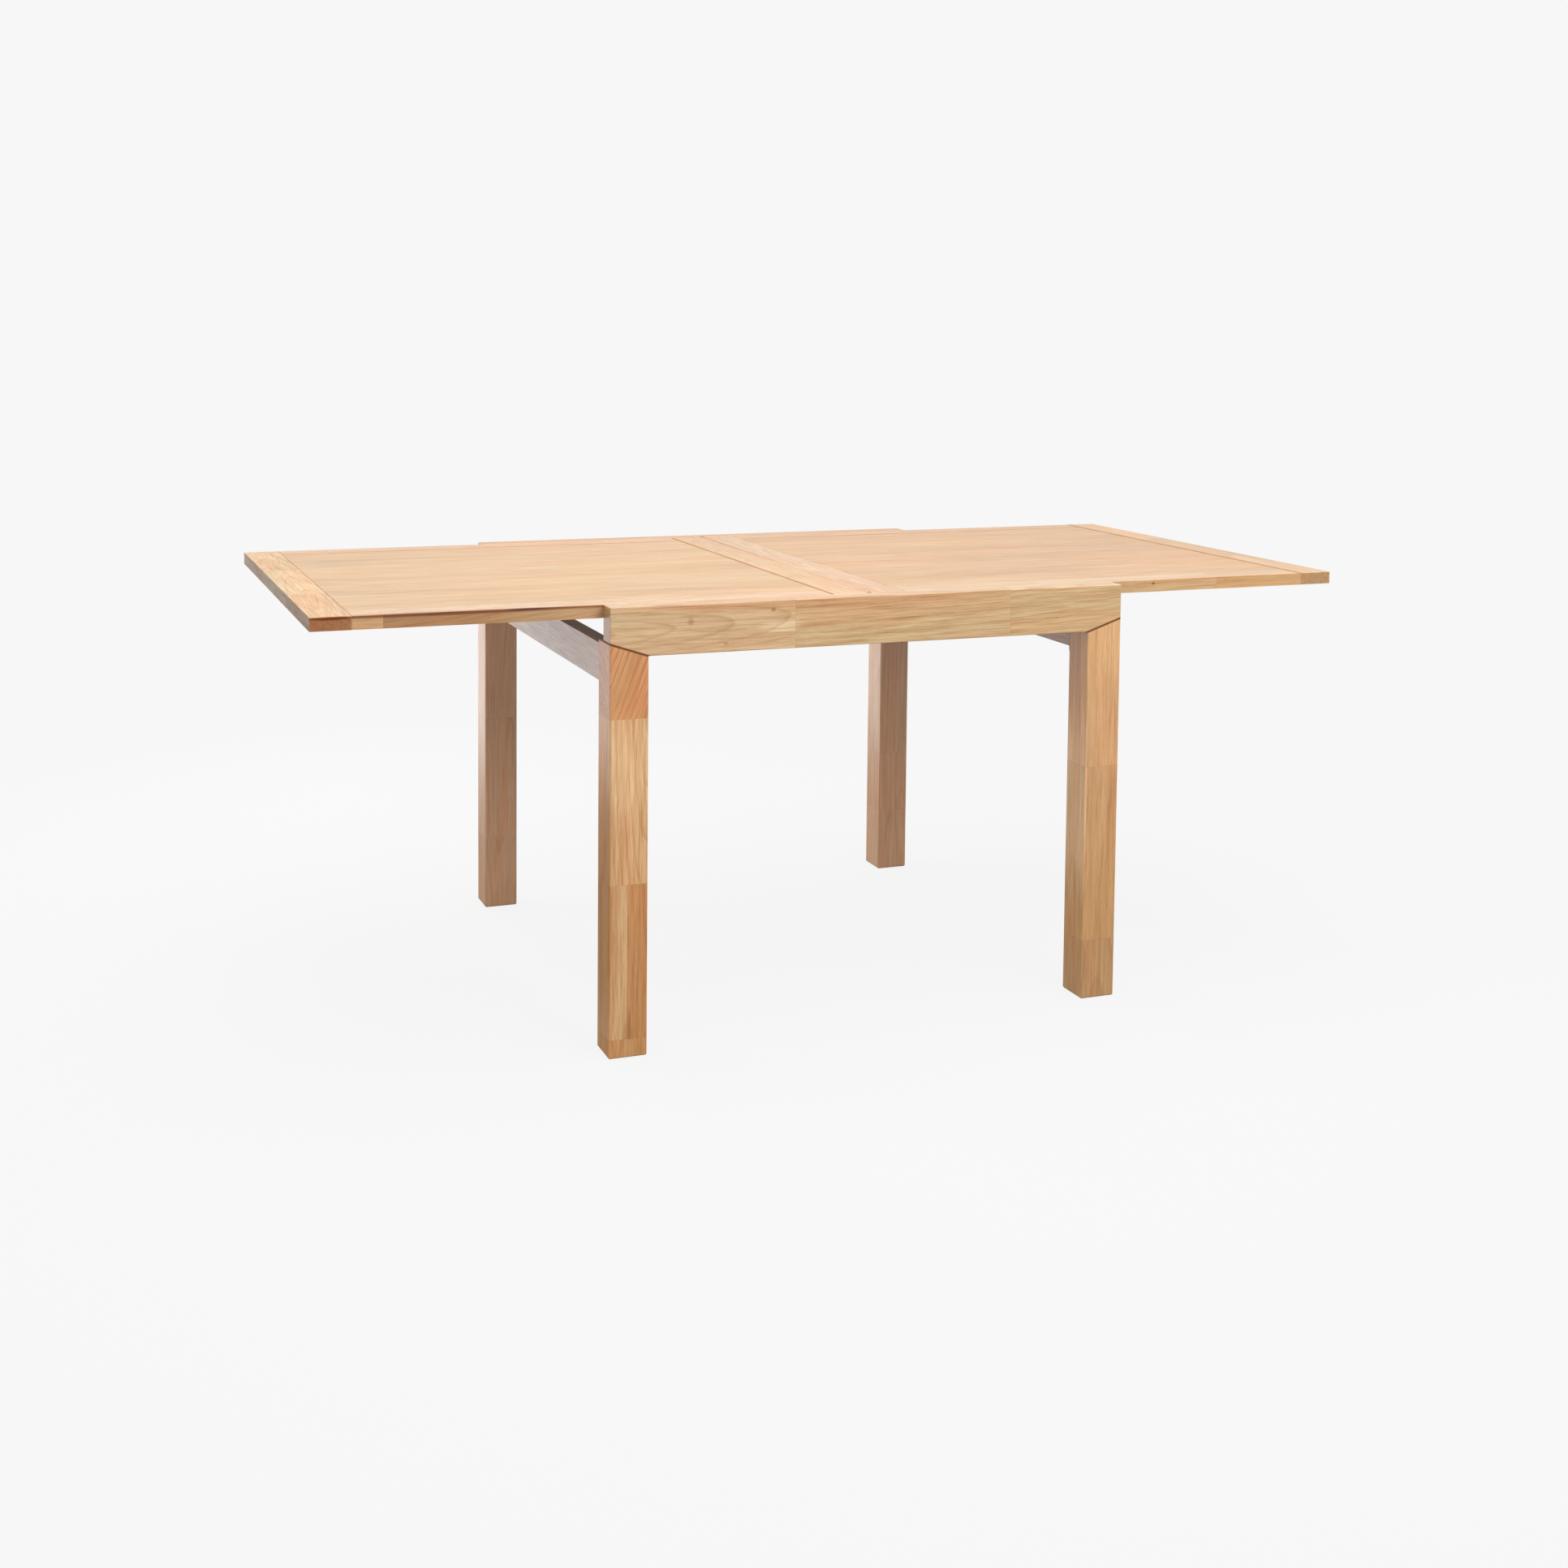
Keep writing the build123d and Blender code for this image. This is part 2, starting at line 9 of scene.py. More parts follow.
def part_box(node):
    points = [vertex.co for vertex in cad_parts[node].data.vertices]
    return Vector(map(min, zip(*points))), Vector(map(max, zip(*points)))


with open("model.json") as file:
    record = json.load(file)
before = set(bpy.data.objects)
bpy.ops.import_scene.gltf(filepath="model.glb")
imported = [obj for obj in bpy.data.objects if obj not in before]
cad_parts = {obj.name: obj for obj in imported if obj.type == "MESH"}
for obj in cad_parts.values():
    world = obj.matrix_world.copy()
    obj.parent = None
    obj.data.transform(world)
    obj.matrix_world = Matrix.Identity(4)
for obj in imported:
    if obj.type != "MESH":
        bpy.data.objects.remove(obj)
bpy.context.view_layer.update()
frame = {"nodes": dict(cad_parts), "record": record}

# An extending table in lacquered rubberwood. Each CAD node keeps its own mesh and gets a
# procedural material; the floor, the lights and the camera are set up at the end.
nodes = frame["nodes"]


# ---------------------------------------------------------------------------
# Node graphs: a few short words for building shaders
# ---------------------------------------------------------------------------
class Graph:
    """A material's node tree, with one short method for each kind of node."""

    def __init__(self, name):
        self.material = bpy.data.materials.new(name)
        self.material.use_nodes = True
        self.tree = self.material.node_tree
        self.tree.nodes.clear()

    def node(self, kind, **settings):
        made = self.tree.nodes.new("ShaderNode" + kind)
        for key, value in settings.items():
            setattr(made, key, value)
        return made

    def plug(self, socket, value):
        """Links a socket, or sets a plain number or colour on it."""
        if isinstance(value, bpy.types.NodeSocket):
            self.tree.links.new(value, socket)
        elif isinstance(value, (tuple, list, Vector)) and len(value) == 3 and socket.type == "RGBA":
            socket.default_value = (*value, 1.0)
        else:
            socket.default_value = value

    def math(self, operation, a, b=0.0):
        made = self.node("Math", operation=operation)
        self.plug(made.inputs[0], a)
        self.plug(made.inputs[1], b)
        return made.outputs[0]

    def add(self, a, b):
        return self.math("ADD", a, b)

    def sub(self, a, b):
        return self.math("SUBTRACT", a, b)

    def mul(self, a, b):
        return self.math("MULTIPLY", a, b)

    def vector(self, x, y, z):
        made = self.node("CombineXYZ")
        for socket, value in zip(made.inputs, (x, y, z)):
            self.plug(socket, value)
        return made.outputs[0]

    def split(self, vector):
        made = self.node("SeparateXYZ")
        self.plug(made.inputs[0], vector)
        return made.outputs

    def vector_math(self, operation, a, b=(0, 0, 0), output="Vector"):
        made = self.node("VectorMath", operation=operation)
        self.plug(made.inputs[0], a)
        self.plug(made.inputs[1], b)
        return made.outputs[output]

    def hypotenuse(self, a, b):
        return self.math("SQRT", self.add(self.mul(a, a), self.mul(b, b)))

    def mix_shaders(self, factor, a, b):
        made = self.node("MixShader")
        self.plug(made.inputs[0], factor)
        self.plug(made.inputs[1], a)
        self.plug(made.inputs[2], b)
        return made.outputs[0]

    def smooth(self, value, low, high, out_low=0.0, out_high=1.0):
        made = self.node("MapRange", interpolation_type="SMOOTHSTEP")
        for socket, number in zip(made.inputs, (value, low, high, out_low, out_high)):
            self.plug(socket, number)
        return made.outputs[0]

    def noise(self, vector, scale=1.0, detail=2.0, roughness=0.5):
        made = self.node("TexNoise", noise_dimensions="3D")
        self.plug(made.inputs["Vector"], vector)
        made.inputs["Scale"].default_value = scale
        made.inputs["Detail"].default_value = detail
        made.inputs["Roughness"].default_value = roughness
        return made.outputs["Fac"]

    def mix(self, factor, a, b, blend="MIX"):
        made = self.node("Mix", data_type="RGBA", blend_type=blend, clamp_factor=True)
        self.plug(made.inputs[0], factor)
        self.plug(made.inputs[6], a)
        self.plug(made.inputs[7], b)
        return made.outputs[2]

    def pick(self, value, stops):
        """The vector of the stretch that value is in: stops are (end of the stretch, vector)."""
        picked = stops[0][1]
        for (last_end, _), (_, vector) in zip(stops, stops[1:]):
            made = self.node("Mix", data_type="VECTOR")
            self.plug(made.inputs[0], self.math("GREATER_THAN", value, last_end))
            self.plug(made.inputs[4], picked)
            self.plug(made.inputs[5], vector)
            picked = made.outputs[1]
        return picked

    def stretched(self, parts, scales, detail=2.0, roughness=0.5):
        """Noise with its own scale along each of three coordinates."""
        scaled = [self.mul(part, scale) for part, scale in zip(parts, scales)]
        return self.noise(self.vector(*scaled), detail=detail, roughness=roughness)

    def tint(self, factor, colour, by):
        """The colour multiplied by another, as far as factor says."""
        return self.mix(factor, colour, by, "MULTIPLY")

    def bump(self, height, strength, distance):
        made = self.node("Bump")
        made.inputs["Strength"].default_value = strength
        made.inputs["Distance"].default_value = distance
        self.plug(made.inputs["Height"], height)
        return made.outputs[0]

    def surface(self, colour, roughness, normal, **fixed):
        """Ends the graph in a Principled shader; fixed values sit on its own sockets."""
        shader = self.node("BsdfPrincipled")
        self.plug(shader.inputs["Base Color"], colour)
        self.plug(shader.inputs["Roughness"], roughness)
        self.plug(shader.inputs["Normal"], normal)
        for key, value in fixed.items():
            shader.inputs[key.replace("_", " ")].default_value = value
        return self.finish(shader.outputs[0])

    def finish(self, shader):
        output = self.node("OutputMaterial")
        self.plug(output.inputs["Surface"], shader)
        return self.material


def paint(name, material):
    """Gives one CAD node a material in all its slots."""
    piece = nodes[name]
    if not piece.material_slots:
        piece.data.materials.append(material)
    for slot in piece.material_slots:
        slot.material = material


# ---------------------------------------------------------------------------
# Wood: a solid texture of growth rings, fibres and pores, cut into blocks
# ---------------------------------------------------------------------------
AXIS_ORDER = {"X": (0, 2, 1), "Y": (1, 0, 2), "Z": (2, 0, 1)}  # along, across, through

# Colours of lacquered rubberwood, as linear reflectance
BORDER = (0.83, 0.57, 0.355)
TAN = (0.775, 0.585, 0.36)
OLIVE = (0.71, 0.47, 0.24)
HONEY = (0.84, 0.50, 0.25)
RUSSET = (0.78, 0.39, 0.165)
COPPER = (0.52, 0.25, 0.10)
ROSE = (0.785, 0.50, 0.33)
ASH = (0.66, 0.525, 0.44)
BEECH = (0.62, 0.42, 0.26)
LINE_DARK = (0.24, 0.08, 0.022)
JOINT_BROWN = (0.40, 0.13, 0.005)

# Tints that marks multiply the wood by
# The first is painted shade: the dark line under the eased front edge of a leaf.
EDGE_SHADE_BROWN = (0.44, 0.21, 0.0)
KNOT = (0.60, 0.44, 0.27)
PALE = (1.24, 1.38, 1.58)
RUSTY = (1.0, 0.86, 0.80)
PINKISH = (1.0, 0.86, 0.82)

RING_GAP = 0.0095  # metres between growth rings
RING_WAVE = 0.0040  # how far the rings wander
LATE_POWER = 7.0  # how suddenly each ring turns dark at its end
BANDS = 95.0  # broad bands of rings to a metre

# Layers of the grain: how often each repeats in a metre along, across and through the fibres
WAVE = (5.0, 20.0, 20.0)
FIBRE = (12.0, 420.0, 420.0)
STRAND = (8.0, 150.0, 150.0)
STREAK = (2.6, 50.0, 50.0)
WIDE_STREAK = (1.3, 17.0, 17.0)
HUE = (1.8, 24.0, 24.0)
CLOUD = (3.0, 9.0, 9.0)
DASH = (13.0, 430.0, 430.0)
PORE = (70.0, 1100.0, 1100.0)

BLOCK_JUMP = 7.3  # keeps the fibres of neighbouring blocks apart
PIECE_JUMP = 1.7  # and those of neighbouring pieces

COAT = 0.35  # weight of the clear lacquer
COAT_ROUGHNESS = 0.22
GLOSS = 0.34  # roughness of lacquered wood
BARE_GLOSS = 0.62  # roughness of planed wood
RELIEF = 0.10  # strength of the bumps under the lacquer
BARE_RELIEF = 0.35  # and on planed wood
BUMP_DEPTH = 0.0003

BUTT_HALF_WIDTH = 0.0007  # the hairlines between the blocks of one piece
BUTT_STRENGTH = 0.14
RUBBED_WIDTH = 0.003  # how far wear reaches in from an edge


class Block:
    """One length of timber between two butt joints; all lengths are metres in the row frame.

    The growth rings run round the pith. pith says how far across and through the piece it
    lies at the place called at, and lean how far it moves in each metre along the grain.
    """

    def __init__(self, end, tone, pith, lean=(0.0, 0.0), at=0.0, slant=0.0):
        self.end = end  # where the block ends along the grain
        self.tone = tone
        self.pith = [p - slope * at for p, slope in zip(pith, lean)]  # where it is at zero
        self.lean = lean
        self.slant = slant  # slope of the fibres across the piece


def tinted(tone, shade):
    return tuple(channel * shade for channel in tone)


def random_blocks(rng, node, grain, shares, tones):
    """Blocks that end at these shares of the piece's length, each with a pith just outside it."""
    low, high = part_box(node)
    along, across, through = AXIS_ORDER[grain]
    made = []
    start = low[along]
    for share in shares:
        end = low[along] + share * (high[along] - low[along])
        pith = (rng.uniform(low[across], high[across]), low[through] - rng.uniform(0.005, 0.05))
        lean = (rng.uniform(-0.02, 0.02), rng.choice((-1, 1)) * rng.uniform(0.03, 0.10))
        tone = tinted(rng.choice(tones), rng.uniform(0.94, 1.05))
        made.append(Block(end, tone, pith, lean, rng.uniform(start, end), rng.uniform(-0.03, 0.03)))
        start = end
    return made


def wood(name, node, grain, blocks, seed, figure=1.0, fibres=1.0, streaks=0.0, lines=(), marks=(),
         joint_tone=LINE_DARK, inlay=None, top=None, ends=(0.80, 0.68, 0.58), coat=COAT,
         gloss=GLOSS, raw=False):
    """The material of one wooden piece.

    grain is the axis of the fibres and blocks its butt-jointed lengths. seed sets its fibres
    apart from the other pieces'. figure, fibres and streaks say how strongly the rings, the
    fibres and the broad streaks show. lines are thin joints in joint_tone, as (normal,
    distance, half width, strength, whether on flat faces only); two strengths stand for the
    front and the back of the piece. marks are soft stains, knots and patches of painted light
    and shade, as (centre, radii, tint, strength). inlay is a (low, high, tone) box of another
    strip inside the piece. top is the tone of the faces that look up or down, and ends the
    tint of the end grain. coat and gloss are the lacquer's weight and roughness, and a raw
    piece has no lacquer.
    """
    low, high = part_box(node)
    order = AXIS_ORDER[grain]
    g = Graph(name)

    place = g.node("TexCoord")
    at = place.outputs["Object"]
    parts = g.split(at)
    facing = g.split(place.outputs["Normal"])
    along, across, through = (parts[i] for i in order)

    # Each block's own values
    tone = g.pick(along, [(b.end, b.tone) for b in blocks])
    piths = g.split(g.pick(along, [(b.end, (*b.pith, n)) for n, b in enumerate(blocks)]))
    leans = g.split(g.pick(along, [(b.end, (*b.lean, b.slant)) for b in blocks]))
    number = piths[2]
    if inlay is not None:
        strip_low, strip_high, strip_tone = inlay
        inside = 1.0
        for axis in range(3):
            inside = g.mul(inside, g.math("GREATER_THAN", parts[axis], strip_low[axis]))
            inside = g.mul(inside, g.math("LESS_THAN", parts[axis], strip_high[axis]))
        tone = g.mix(inside, tone, strip_tone)
        number = g.add(number, g.mul(inside, 0.5))
    flat = g.smooth(g.math("ABSOLUTE", facing[2]), 0.55, 0.85)  # 1 where a face looks up or down
    if top is not None:
        tone = g.mix(flat, tone, top)

    # Coordinates that slope with the fibres and jump from block to block
    jump = g.mul(number, BLOCK_JUMP)
    across_at = g.sub(across, g.mul(along, leans[2]))
    fibre_at = (g.add(along, jump), g.add(across_at, jump), g.add(through, seed * PIECE_JUMP))

    # Growth rings around the pith, a little wavy; each ring ends in a dark line
    wave_at = (g.add(along, jump), across, through)
    wave = g.sub(g.stretched(wave_at, WAVE), 0.5)
    off_a = g.sub(across_at, g.add(piths[0], g.mul(along, leans[0])))
    off_t = g.sub(through, g.add(piths[1], g.mul(along, leans[1])))
    radius = g.add(g.hypotenuse(off_a, off_t), g.mul(wave, 2 * RING_WAVE))
    turn = g.math("FRACT", g.mul(radius, 1.0 / RING_GAP))
    late = g.mul(g.math("POWER", turn, LATE_POWER), g.smooth(turn, 0.93, 1.0, 1.0, 0.0))
    band = g.noise(g.vector(g.mul(radius, BANDS), jump, seed), detail=1.0)

    # Fibres, streaks, clouds and pores
    fibre = g.stretched(fibre_at, FIBRE, detail=3.0)
    strand = g.stretched(fibre_at, STRAND, detail=4.0, roughness=0.62)
    streak = g.stretched(fibre_at, STREAK, detail=3.0)
    hue = g.stretched(fibre_at, HUE)
    cloud = g.stretched(fibre_at, CLOUD)
    dash = g.smooth(g.stretched(fibre_at, DASH), 0.54, 0.66)
    pore = g.smooth(g.stretched(fibre_at, PORE, detail=1.0), 0.60, 0.72)

    layers = [
        (g.smooth(hue, 0.35, 0.65, 0.0, 0.8), (1.03, 0.93, 0.84)),
        (g.smooth(hue, 0.35, 0.65, 0.6, 0.0), (0.96, 1.00, 0.96)),
        (g.mul(late, 0.70 * figure), (0.66, 0.47, 0.34)),
        (g.smooth(band, 0.35, 0.68, 0.0, 0.40 * figure), (0.84, 0.75, 0.66)),
        (g.smooth(streak, 0.40, 0.64, 0.0, 0.28 * fibres), (0.84, 0.77, 0.69)),
        (g.smooth(strand, 0.48, 0.58, 0.0, 0.50 * fibres), (0.84, 0.76, 0.67)),
        (g.smooth(strand, 0.42, 0.30, 0.0, 0.35 * fibres), (1.08, 1.10, 1.12)),
        (g.smooth(fibre, 0.42, 0.62, 0.0, 0.60 * fibres), (0.82, 0.72, 0.62)),
        (g.smooth(cloud, 0.30, 0.70, 0.0, 0.5), (1.08, 1.06, 1.03)),
        (g.mul(dash, 0.50 * fibres * figure), (0.70, 0.55, 0.42)),
        (g.mul(pore, 0.35 * fibres), (0.66, 0.55, 0.46)),
    ]
    if streaks:
        wide = g.stretched(fibre_at, WIDE_STREAK, detail=4.0, roughness=0.6)
        layers.append((g.smooth(wide, 0.46, 0.66, 0.0, streaks), (0.86, 0.85, 0.84)))
    colour = tone
    for factor, tint in layers:
        colour = g.tint(factor, colour, tint)

    # End grain drinks more finish and shows darker
    end_grain = g.smooth(g.math("ABSOLUTE", facing[order[0]]), 0.75, 0.95)
    colour = g.tint(end_grain, colour, ends)

    # Knots, stains, and patches of painted light and shade
    ragged = g.smooth(strand, 0.3, 0.7, 0.88, 1.12)
    for centre, radii, tint, strength in marks:
        scaled = g.vector_math("DIVIDE", g.vector_math("SUBTRACT", at, centre), radii)
        reach = g.mul(g.vector_math("LENGTH", scaled, output="Value"), ragged)
        colour = g.tint(g.smooth(reach, 0.35, 1.0, strength, 0.0), colour, tint)

    # Thin dark joints
    groove = 0.0
    for normal, distance, half_width, strength, only_flat in lines:
        level = g.vector_math("DOT_PRODUCT", at, normal, output="Value")
        off = g.math("ABSOLUTE", g.sub(level, distance))
        if isinstance(strength, tuple):
            strength = g.smooth(parts[1], low.y, high.y, *strength)
        mark = g.smooth(off, half_width * 0.6, half_width, strength, 0.0)
        if only_flat:
            mark = g.mul(mark, flat)
        groove = g.math("MAXIMUM", groove, mark)
    for block in blocks[:-1]:
        off = g.math("ABSOLUTE", g.sub(along, block.end))
        mark = g.smooth(off, 0.0002, BUTT_HALF_WIDTH, BUTT_STRENGTH, 0.0)
        groove = g.math("MAXIMUM", groove, mark)
    colour = g.mix(groove, colour, joint_tone)

    # Wear: the edges are rubbed a little lighter and smoother. An edge is where two of the
    # three distances to the nearest faces are small, so the middle one of the three is taken.
    near = []
    for axis in range(3):
        from_low = g.sub(parts[axis], low[axis])
        from_high = g.sub(high[axis], parts[axis])
        near.append(g.math("MINIMUM", from_low, from_high))
    pair_low = g.math("MINIMUM", near[0], near[1])
    pair_high = g.math("MAXIMUM", near[0], near[1])
    edge = g.math("MAXIMUM", pair_low, g.math("MINIMUM", pair_high, near[2]))
    patchy = g.noise(at, scale=38.0, detail=3.0)
    worn = g.mul(g.smooth(edge, 0.0, RUBBED_WIDTH, 1.0, 0.0), g.smooth(patchy, 0.35, 0.65))
    colour = g.tint(g.mul(worn, 0.30), colour, (1.22, 1.20, 1.16))

    relief = RELIEF
    if raw:
        gloss, coat, relief = BARE_GLOSS, 0.0, BARE_RELIEF
    rough = g.add(g.smooth(fibre, 0.2, 0.8, gloss, gloss + 0.10), g.mul(pore, 0.12))
    rough = g.add(g.sub(rough, g.mul(worn, 0.05)), g.mul(groove, 0.5))
    height = g.sub(g.sub(g.mul(fibre, 0.5), g.mul(pore, 0.6)), g.mul(groove, 0.8))
    normal = g.bump(height, relief, BUMP_DEPTH)
    return g.surface(colour, rough, normal, IOR=1.5, Coat_Weight=coat, Coat_Roughness=COAT_ROUGHNESS)


def dress(node, grain, blocks, seed, **looks):
    """Paints one piece with a wood of its own."""
    paint(node, wood(node + "_wood", node, grain, blocks, seed, **looks))


# Where the members of the table meet, from the CAD boxes
inner_rail_low, inner_rail_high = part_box("right_inner_rail")
outer_rail_low, outer_rail_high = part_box("right_outer_rail")
strip_low, strip_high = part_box("right_strip_front")
apron_low, apron_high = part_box("apron_front")
leg_low, leg_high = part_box("leg_front_left")
top_z = apron_high.z
front_y = apron_low.y
leaf_end = outer_rail_high.x
rail_start = outer_rail_low.x

# Half width and strength of each joint. Where the leaves differ, -1 is the left one, 1 the right.
SEAM = (0.0020, (0.10, 1.0))  # it fades out towards the front
INNER_JOINT = {-1: (0.0037, 1.0), 1: (0.0010, 0.55)}
OUTER_JOINT = {-1: (0.0012, 0.8), 1: (0.0050, 1.0)}
FRONT_JOINT = (0.0022, 0.10)
BACK_JOINT = (0.0036, 0.80)
MITRE_JOINT = (0.0024, 1.0)
ACROSS_X = (1, 0, 0)
ACROSS_Y = (0, 1, 0)


def leaf_lines(side):
    """The thin joints between the members of one leaf; side is -1 or 1."""
    return [
        (ACROSS_X, side * inner_rail_high.x, *INNER_JOINT[side], True),
        (ACROSS_X, side * outer_rail_low.x, *OUTER_JOINT[side], True),
        (ACROSS_X, side * inner_rail_low.x, *SEAM, True),
    ]


def strip_lines(side):
    """The same, with the fainter joints between the panel and the side strips."""
    return leaf_lines(side) + [
        (ACROSS_Y, strip_high.y, *FRONT_JOINT, True),
        (ACROSS_Y, -strip_high.y, *BACK_JOINT, True),
    ]


def mitre_lines(side):
    """The sloping joint of a leg and an apron: a plane through its two ends."""
    run = leg_high.x - leg_low.x
    outer = Vector((side * apron_high.x, 0, leg_high.z))
    inner = Vector((side * (apron_high.x - run), 0, apron_low.z))
    slope = (outer - inner).normalized()
    normal = Vector((-slope.z, 0, slope.x))
    return [(tuple(normal), normal.dot(outer), *MITRE_JOINT, False)]


# ---------------------------------------------------------------------------
# The leaves
# ---------------------------------------------------------------------------
def painted_edge_shade(low_x, high_x):
    """Painted shade: a thin brown line just under the front edge of a leaf."""
    centre = ((low_x + high_x) / 2, strip_low.y, top_z - 0.0020)
    radii = ((high_x - low_x) * 0.8, 0.004, 0.0048)
    return (centre, radii, EDGE_SHADE_BROWN, 1.0)


edge_blocks = {
    "left": (
        Block(-rail_start, COPPER, (0.70, -0.43)),
        Block(-0.835, (0.97, 0.68, 0.443), (0.70, -0.43), (0.0, 0.05)),
        Block(-0.30, (0.665, 0.415, 0.215), (0.71, -0.44), (-0.05, 0.02), -0.5, slant=0.12),
        Block(0.0, (0.62, 0.36, 0.18), (0.70, -0.46)),
    ),
    "right": (
        Block(0.34, (0.64, 0.40, 0.19), (0.70, -0.45)),
        Block(0.70, (0.72, 0.50, 0.265), (0.71, -0.46), (0.03, 0.03), 0.5),
        Block(leaf_end, (0.73, 0.465, 0.22), (0.72, -0.44)),
    ),
}
edge_marks = {
    "left": [
        ((-0.80, strip_low.y, top_z - 0.011), (0.27, 0.02, 0.06), (0.76, 0.66, 0.53), 1.0),
        # A line of painted shade under the front edge
        painted_edge_shade(-rail_start - 0.10, -0.45),
        ((-0.60, strip_low.y, top_z - 0.001), (0.05, 0.004, 0.003), (0.35, 0.18, 0.10), 0.9),
    ],
    "right": [((0.565, strip_low.y, 0.743), (0.005, 0.012, 0.0035), (0.40, 0.22, 0.12), 0.95)],
}
leaf_looks = {  # tones and marks of the pieces; "rail" holds the outer rail's other looks
    "left": {
        "side": -1,
        "panel": (0.79, 0.545, 0.322),
        "outer": [(0.75, 0.56, 0.383), (0.76, 0.545, 0.368)],
        "inner": [BORDER],
        "front_top": (0.845, 0.63, 0.45),
        "back_top": (0.84, 0.585, 0.40),
        "rail": {"ends": (0.62, 0.40, 0.25), "coat": 0.0, "gloss": 0.55},
        "outer_marks": [
            # A line of painted shade under the front edge
            painted_edge_shade(-leaf_end, -rail_start),
            # Painted shade: the outer end face is darkened to a grey
            ((-leaf_end, 0.0, strip_low.z), (0.0015, 1.0, 0.08), (0.50, 0.52, 0.56), 1.0),
        ],
        "inner_marks": [],
    },
    "right": {
        "side": 1,
        "panel": (0.77, 0.51, 0.298),
        "outer": [(0.82, 0.598, 0.387), (0.83, 0.577, 0.365)],
        "inner": [(0.80, 0.57, 0.39)],
        "front_top": (0.79, 0.60, 0.414),
        "back_top": (0.795, 0.555, 0.37),
        "rail": {"ends": (0.65, 0.58, 0.43)},
        "outer_marks": [],
        "inner_marks": [
            ((inner_rail_low.x, front_y, top_z), (0.3, 0.45, 0.3), (0.955, 0.90, 0.89), 1.0),
        ],
    },
}
for number, (leaf, looks) in enumerate(leaf_looks.items()):
    rng = random.Random(41 + number)
    rails = {"lines": leaf_lines(looks["side"]), "joint_tone": JOINT_BROWN}
    strips = {"lines": strip_lines(looks["side"]), "joint_tone": JOINT_BROWN}

    panel = leaf + "_panel"
    veneer = [Block(looks["side"] * leaf_end, looks["panel"], (0.64, 0.1), (0.02, 0.004))]
    paint(panel, wood(panel + "_veneer", panel, "X", veneer, 3.1 + number,
                      figure=0.2, streaks=0.75, **strips))

    rail = leaf + "_outer_rail"
    blocks = random_blocks(rng, rail, "Y", (0.30, 0.66, 1.0), looks["outer"])
    dress(rail, "Y", blocks, 5.0 + number,
          figure=0.7, marks=looks["outer_marks"], **looks["rail"], **rails)

    rail = leaf + "_inner_rail"
    blocks = random_blocks(rng, rail, "Y", (0.45, 1.0), looks["inner"])
    dress(rail, "Y", blocks, 5.5 + number, figure=0.6, marks=looks["inner_marks"], **rails)

    dress(leaf + "_strip_front", "X", edge_blocks[leaf], 8.0 + number,
          figure=0.6, marks=edge_marks[leaf], top=looks["front_top"], **strips)

    strip = leaf + "_strip_back"
    blocks = random_blocks(rng, strip, "X", (0.12, 0.45, 0.80, 1.0), [TAN, HONEY])
    dress(strip, "X", blocks, 8.5 + number, figure=0.6, top=looks["back_top"], **strips)


# ---------------------------------------------------------------------------
# The base
# ---------------------------------------------------------------------------
# The top faces take a lighter tone: a painted highlight where they are seen edge-on.
apron_looks = {  # blocks, marks and the tone of the top face
    "apron_front": (
        [
            Block(-0.1516, TAN, (0.708, front_y + 0.0205), (0.04, 0.09), -0.45),
            Block(0.2534, (0.745, 0.53, 0.295), (0.60, -0.42), (0.03, 0.01), 0.0, slant=0.01),
            Block(apron_high.x, (0.755, 0.54, 0.30), (0.66, -0.47), (0.08, 0.02), 0.3, slant=0.02),
        ],
        [
            ((-0.337, front_y, 0.721), (0.008, 0.02, 0.008), KNOT, 0.6),
            ((-0.1915, front_y, 0.735), (0.006, 0.02, 0.005), KNOT, 0.8),
            ((-0.275, front_y, 0.682), (0.007, 0.02, 0.003), KNOT, 0.6),
            ((-0.175, front_y, 0.708), (0.055, 0.02, 0.014), PALE, 1.0),
            ((-0.30, front_y, 0.748), (0.22, 0.02, 0.016), RUSTY, 0.9),
            ((0.03, front_y, 0.742), (0.30, 0.02, 0.022), PINKISH, 0.9),
        ],
        (0.79, 0.595, 0.395),
    ),
    "apron_back": (
        random_blocks(random.Random(7), "apron_back", "X", (0.22, 0.60, 1.0), [TAN, OLIVE]),
        [],
        (0.785, 0.515, 0.315),
    ),
}
for name, (blocks, marks, top) in apron_looks.items():
    dress(name, "X", blocks, 2.0, figure=1.0, fibres=0.95, marks=marks, top=top,
          lines=mitre_lines(-1) + mitre_lines(1))

